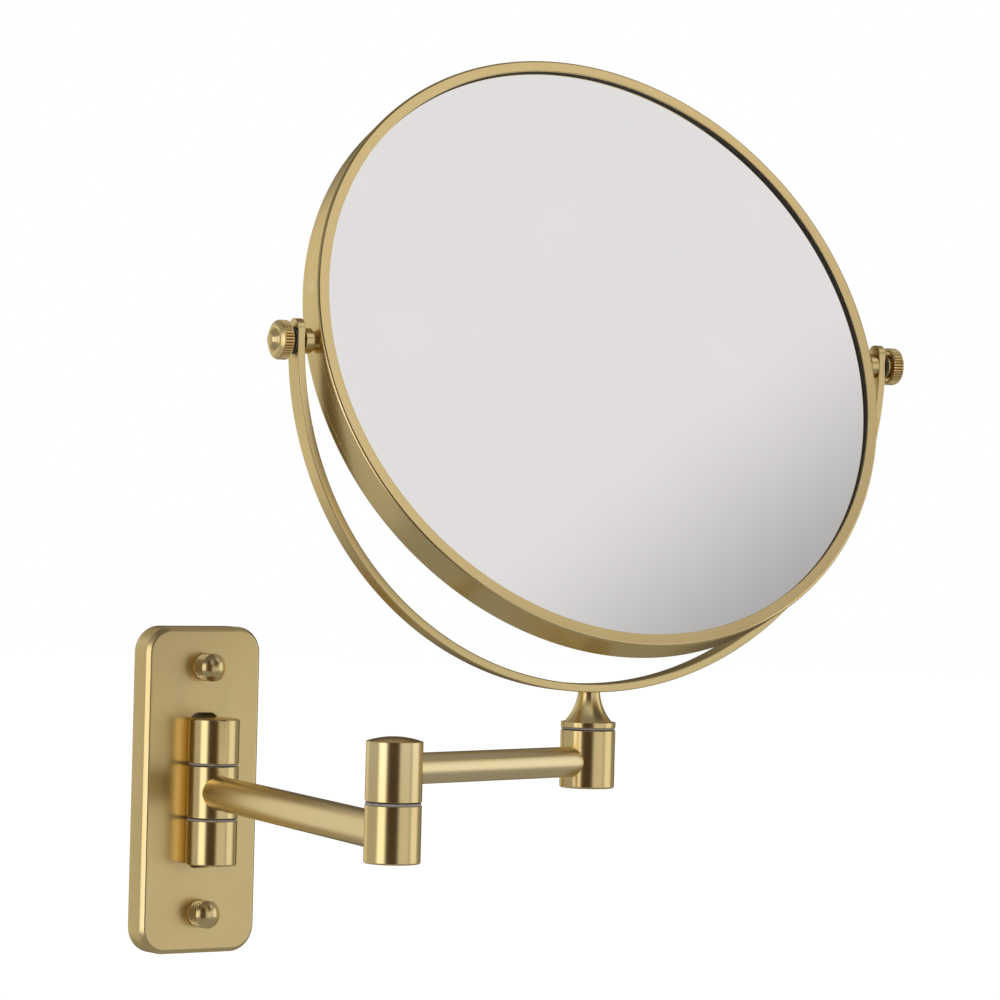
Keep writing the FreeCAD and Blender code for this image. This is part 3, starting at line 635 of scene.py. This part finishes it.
def yoke():
    """A bent strip with softened edges and round tips, drilled at the pivots."""
    outer = MIDDLE.z - level("yoke", 0)
    tip = level("yoke", 1) - MIDDLE.z
    inner, soften, tip_steps = outer - YOKE_THICK, 0.4, 12
    path = []
    for step in range(tip_steps + 1):
        turn = math.radians(90 - 90 * step / tip_steps)
        narrow = YOKE_TIP_ROUND * (1 - math.cos(turn))
        path.append(((1, 0), (0, tip - YOKE_TIP_ROUND * (1 - math.sin(turn))), narrow))
    path += [((math.cos(-math.pi * step / 180), math.sin(-math.pi * step / 180)), (0, 0), 0)
             for step in range(181)]
    path += [((-1, 0), rise, narrow) for _, rise, narrow in reversed(path[:tip_steps + 1])]
    loops = []
    for direction, rise, narrow in path:
        width = max(YOKE_HALF_WIDTH - narrow, 0.16)
        bend = min(soften, width * 0.9)
        section = rounded([(outer, -width, bend), (outer, width, bend), (inner, width, bend),
                           (inner, -width, bend)], steps=4)
        loops.append([(direction[0] * r + rise[0], direction[1] * r + rise[1], z)
                      for r, z in section])
    mesh = loft("yoke_strip", loops, cap=True)
    reach = outer + 10
    rod = [(0, -reach), (STUD_BORE, -reach), (STUD_BORE, reach), (0, reach)]
    drill = bpy.data.objects.new("drill", lathe_mesh("drill", rod, segments=64, closed=False))
    strip = bpy.data.objects.new("strip", mesh)
    for item in (drill, strip):
        bpy.context.scene.collection.objects.link(item)
    drill.rotation_euler = (0, math.pi / 2, 0)
    cut = strip.modifiers.new("eyes", "BOOLEAN")
    cut.object, cut.operation, cut.solver = drill, "DIFFERENCE", "EXACT"
    shape = strip.evaluated_get(bpy.context.evaluated_depsgraph_get())
    drilled = bpy.data.meshes.new_from_object(shape)
    for item in (drill, strip):
        bpy.data.objects.remove(item)
    drilled.materials.clear()
    add_piece("yoke_strip", drilled, YOKE, TURNED, "swivel", ["yoke"])


# Mirror -----------------------------------------------------------------------

def rim():
    """Band, two bezels with turned-in lips, their gaskets and the plain glass."""
    body = "mirror"
    band = rounded([(RIM_INNER, -BAND_HALF, 0.1), (RIM_OUTER, -BAND_HALF, 0.05),
                    (RIM_OUTER, BAND_HALF, 0.05), (RIM_INNER, BAND_HALF, 0.1)], steps=3)
    lathe("rim_band_brass", band, MIRROR, TURNED, body, "satin_brass", ["rim_band"],
          segments=RIM_SEGMENTS)
    bezel = rounded([(RIM_INNER, BAND_HALF, 0), (RIM_OUTER, BAND_HALF, 0.05),
                     (RIM_OUTER, LIP_FRONT, 1.0), (LIP_INNER, LIP_FRONT, 0.22),
                     (LIP_INNER, LIP_LOW, 0), (RIM_INNER, LIP_LOW, 0)], steps=8)
    gasket = rounded([(GASKET_INNER, GLASS_FRONT, 0.1), (GLASS_EDGE, GLASS_FRONT, 0),
                      (GLASS_EDGE, LIP_LOW, 0), (GASKET_INNER, LIP_LOW, 0.1)], steps=3)
    for side, place in (("front", MIRROR), ("rear", MIRROR_BACK)):
        lathe(side + "_bezel_brass", bezel, place, TURNED, body, "satin_brass",
              [side + "_bezel"], segments=RIM_SEGMENTS)
        lathe(side + "_gasket_rubber", gasket, place, RUBBER, body, "dark_rubber",
              [side + "_gasket"], segments=RIM_SEGMENTS)
    rear = 3.1
    plain = rounded([(0, GLASS_FRONT, 0), (GLASS_EDGE, GLASS_FRONT, 0.2), (GLASS_EDGE, rear, 0.2),
                     (0, rear, 0)], closed=False, steps=3)
    lathe("plain_glass_silvered", plain, MIRROR, MIRROR_GLASS, body, "mirror_glass",
          ["plain_glass"], segments=RIM_SEGMENTS, closed=False)


def magnifying_glass():
    """The bowed glass of the rear face, between two spheres about one centre."""
    radius = GLASS_EDGE ** 2 / (2 * BOWL_DEPTH) + BOWL_DEPTH / 2
    centre = GLASS_FRONT - BOWL_DEPTH + radius

    def sphere(size):
        limit = math.degrees(math.asin(GLASS_EDGE / size))
        return arc_points((0, centre), size, -90, -90 + limit, 40)

    inner, outer = sphere(radius), sphere(radius + GLASS_THICK)
    profile = [(0, inner[0][1]), *inner[1:], *reversed(outer[1:]), (0, outer[0][1])]
    lathe("magnifying_glass_silvered", profile, MIRROR_BACK, MIRROR_GLASS, "mirror",
          "mirror_glass", ["magnifying_glass"], segments=RIM_SEGMENTS, closed=False, crease=30)


def straight_knurl(radius, low, high, teeth, depth):
    """A shape function: straight grooves along a rim."""
    groove, hollow = 0.75, 0.8

    def shape(r, z, turn):
        if r < radius - 0.01 or not low <= z <= high:
            return r, z
        ridge = abs(math.sin(teeth * turn / 2))
        return r - depth * (1 - min(1, ridge / groove)) ** hollow, z
    return shape


def pivots():
    """Spacers and the knurled knobs on the pivot axis."""
    for side, sign in SIDES.items():
        place = frame_at(MIDDLE, UP, PIVOT * sign)
        spacer = rounded([(STUD, RIM_OUTER, 0), (SPACER_NECK, RIM_OUTER, 0),
                          (SPACER_NECK, SPACER_STEP, 0.2), (SPACER_HEAD, SPACER_STEP, 0.3),
                          (SPACER_HEAD, SPACER_END, 0.2), (STUD, SPACER_END, 0)], steps=4)
        lathe("pivot_spacer_%s_brass" % side, spacer, place, TURNED, "mirror", "satin_brass",
              ["pivot_spacer_" + side], segments=64)
        knurl = straight_knurl(KNOB, KNURL_START, KNURL_END, teeth=40, depth=0.8)
        lathe(side + "_knob_brass", knob_profile(), place, TURNED, side + "_knob",
              "satin_brass", [side + "_knob"], segments=480, shape=knurl, crease=35)


def knob_profile():
    """A cup-backed knob: knurled rim, sloping face and a low button nose in a groove."""
    back = rounded([(STUD_BORE, KNOB_NECK_START, 0), (KNOB_NECK, KNOB_NECK_START, 0.15),
                    (KNOB_NECK, KNOB_FLOOR, 0.2), (KNOB_RECESS, KNOB_FLOOR, 0.2),
                    (KNOB_RECESS, KNOB_START, 0.15), (6.1, KNOB_START, 0.12)],
                   closed=False, steps=3)
    side = [(KNOB, KNURL_START), (KNOB, 120.3), (KNOB, 122.7), (KNOB, KNURL_END)]
    front = rounded([(6.45, 122.95, 0.1), (6.45, 123.4, 0.15), (5.1, KNOB_SHOULDER, 0.3),
                     (4.0, KNOB_SHOULDER, 0.12), (3.8, 124.1, 0.1), (3.6, KNOB_SHOULDER, 0.15),
                     (2.0, KNOB_NOSE, 1.6), (0, KNOB_NOSE, 0)], closed=False)
    return [*back, *side, *front, (0, KNOB_BORE_END), (STUD_BORE, KNOB_BORE_END)]


# CAD nodes that stay as they are ----------------------------------------------

def finish_nodes():
    """Give each remaining CAD node the finish of its slot."""
    slots = {part["node"]: part.get("material_slot")
             for part in frame["record"].get("subparts", [])}
    for name, node in frame["nodes"].items():
        node.data.materials.clear()
        node.data.materials.append(FINISHES.get(slots.get(name), ZINC))


# Stage ------------------------------------------------------------------------

# The camera, fitted to the photo: its angles, its place in metres, its lens in millimetres.
YAW, PITCH, ROLL = math.radians(34.23), math.radians(-0.034), math.radians(1.46)
CAMERA = Vector((-0.806067, -1.388082, 0.112071))
LENS, SENSOR = 153.48, 36.0
# Where the light of a card with falloff begins and ends to drop, across its slanted height.
FALL_SLANT, FALL_START, FALL_END = 0.367, 0.703, 0.87


def camera_axes():
    """The camera's right, up and forward directions."""
    forward = Vector((math.sin(YAW) * math.cos(PITCH), math.cos(YAW) * math.cos(PITCH),
                      math.sin(PITCH)))
    level_right = Vector((math.cos(YAW), -math.sin(YAW), 0))
    level_up = level_right.cross(forward)
    right = level_right * math.cos(ROLL) + level_up * math.sin(ROLL)
    return right, right.cross(forward), forward


def camera():
    """The camera of the photo."""
    right, up, forward = camera_axes()
    data = bpy.data.cameras.new("camera")
    data.lens, data.sensor_width = LENS, SENSOR
    data.clip_start, data.clip_end = 0.05, 100
    view = bpy.data.objects.new("camera", data)
    view.matrix_world = Matrix.Translation(CAMERA) @ \
        Matrix((right, up, -forward)).transposed().to_4x4()
    bpy.context.scene.collection.objects.link(view)
    bpy.context.scene.camera = view


def card(name, azimuth, height, distance, width, tall, colour, fade, falloff=None):
    """A softbox or a flag: a card that faces the object and isn't seen directly.

    Azimuth is in degrees to the right of the camera, as seen from the object.
    Fade is the share of the card that its edges take to vanish; falloff is the
    share of the light left in the corner that is low and away from the camera.
    """
    towards = direction(azimuth, height)
    mesh = bpy.data.meshes.new(name)
    edit = bmesh.new()
    bmesh.ops.create_grid(edit, x_segments=1, y_segments=1, size=0.5)
    edit.to_mesh(mesh)
    edit.free()
    item = bpy.data.objects.new(name, mesh)
    item.matrix_world = frame_at(MIDDLE + towards * distance / MM, UP.cross(towards), -towards) \
        @ Matrix.Diagonal((width, tall, 1, 1))
    bpy.context.scene.collection.objects.link(item)
    material, _, links, add = new_material(name)
    glow = add("Emission", in_0=(*colour, 1), in_1=1.0)
    across = add("SeparateXYZ", [(add("TexCoord").outputs["Generated"], 0)])
    if falloff:
        slant = add("Math", [(across.outputs[0], 0), (across.outputs[1], 2)],
                    operation="MULTIPLY_ADD", in_1=FALL_SLANT)
        dim = add("MapRange", [(slant.outputs[0], 0)], interpolation_type="SMOOTHSTEP",
                  in_1=FALL_START, in_2=FALL_END, in_3=1.0, in_4=falloff)
        links.new(dim.outputs[0], glow.inputs[1])
    shares = []
    for axis in (0, 1):
        soft = add("Math", [(across.outputs[axis], 0)], operation="PINGPONG", in_1=0.5)
        share = add("MapRange", [(soft.outputs[0], 0)], interpolation_type="SMOOTHSTEP",
                    in_1=0.0, in_2=fade, in_3=0.0, in_4=1.0)
        shares.append((share.outputs[0], axis))
    both = add("Math", shares, operation="MULTIPLY")
    mixer = add("MixShader", [(both.outputs[0], 0), (add("BsdfTransparent").outputs[0], 1),
                              (glow.outputs[0], 2)])
    output = next(node for node in material.node_tree.nodes if node.type == "OUTPUT_MATERIAL")
    links.new(mixer.outputs[0], output.inputs[0])
    mesh.materials.append(material)
    item.visible_camera = False
    item.visible_shadow = False
    item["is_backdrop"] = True


def direction(azimuth, height):
    """The way from the object to a place right of the camera and above it, in degrees."""
    turn, rise = math.radians(azimuth), math.radians(height)
    back = Vector((-math.sin(YAW), -math.cos(YAW), 0))
    side = Vector((math.cos(YAW), -math.sin(YAW), 0))
    return (back * math.cos(turn) + side * math.sin(turn)) * math.cos(rise) \
        + UP * math.sin(rise)


def floor():
    """A wide pale floor, well below the object."""
    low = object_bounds()[0].z - 0.35
    mesh = bpy.data.meshes.new("floor")
    edit = bmesh.new()
    bmesh.ops.create_circle(edit, cap_ends=True, segments=96, radius=12)
    edit.to_mesh(mesh)
    edit.free()
    item = bpy.data.objects.new("floor", mesh)
    item.location = (0, 0, low)
    bpy.context.scene.collection.objects.link(item)
    material, shader, _, _ = new_material("pale_floor")
    shader.inputs["Base Color"].default_value = (0.92, 0.92, 0.92, 1)
    shader.inputs["Roughness"].default_value = 1.0
    shader.inputs["Specular IOR Level"].default_value = 0.0
    shader.inputs["Emission Color"].default_value = (1, 1, 1, 1)
    shader.inputs["Emission Strength"].default_value = 0.75
    mesh.materials.append(material)
    item.visible_glossy = False
    item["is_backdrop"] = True


def studio():
    """White surroundings for the eye, a grey room and cards for the metal."""
    world = bpy.data.worlds.new("studio")
    bpy.context.scene.world = world
    world.use_nodes = True
    tree = world.node_tree
    room = tree.nodes["Background"]
    room.inputs[0].default_value = (0.32, 0.32, 0.32, 1)
    white = tree.nodes.new("ShaderNodeBackground")
    white.inputs[0].default_value = (1, 1, 1, 1)
    path = tree.nodes.new("ShaderNodeLightPath")
    mixer = tree.nodes.new("ShaderNodeMixShader")
    tree.links.new(path.outputs["Is Camera Ray"], mixer.inputs[0])
    tree.links.new(room.outputs[0], mixer.inputs[1])
    tree.links.new(white.outputs[0], mixer.inputs[2])
    tree.links.new(mixer.outputs[0], tree.nodes["World Output"].inputs[0])
    card("side_left", -100, -5, 2.7, 4.2, 4.4, (0.52, 0.52, 0.51), 0.15)
    card("side_right", 47, 5, 2.7, 2.6, 3.4, (0.74, 0.74, 0.73), 0.12)
    card("back_left", -138, 0, 2.5, 1.9, 2.4, (0.80, 0.80, 0.79), 0.2)
    card("flag_back", 174, 0, 2.6, 2.3, 3.2, (0.10, 0.09, 0.08), 0.12)
    card("flag_top", 0, 86, 2.5, 3.0, 3.0, (0.14, 0.13, 0.12), 0.2)
    card("flag_front", -2.5, 12, 2.4, 2.3, 5.0, (0.07, 0.047, 0.03), 0.1)
    card("strip_left", -46, 0, 2.2, 1.55, 2.3, (1.6, 1.6, 1.58), 0.2)
    card("strip_right", 96, 3, 2.2, 2.0, 2.4, (1.05, 1.05, 1.04), 0.2)
    card("overhead", 66, 37, 1.9, 2.2, 1.5, (0.843, 0.818, 0.81), 0.1, 0.45)
    bpy.context.scene.view_settings.view_transform = "Standard"


def lamp(name, azimuth, height, distance, size, power):
    """A soft area light aimed at the mirror."""
    towards = direction(azimuth, height)
    data = bpy.data.lights.new(name, "AREA")
    data.shape, data.size, data.energy = "SQUARE", size, power
    item = bpy.data.objects.new(name, data)
    item.matrix_world = frame_at(MIDDLE + towards * distance / MM, UP.cross(towards), towards)
    item.visible_camera = False
    item.visible_glossy = False
    bpy.context.scene.collection.objects.link(item)


backplate()
thumb_nuts()
wall_hinge()
washers()
inner_arm()
outer_arm()
swivel_neck()
yoke()
rim()
magnifying_glass()
pivots()
finish_nodes()
floor()
camera()
studio()
lamp("top_light", 20, 75, 2.0, 1.0, 12)

bpy.context.view_layer.update()
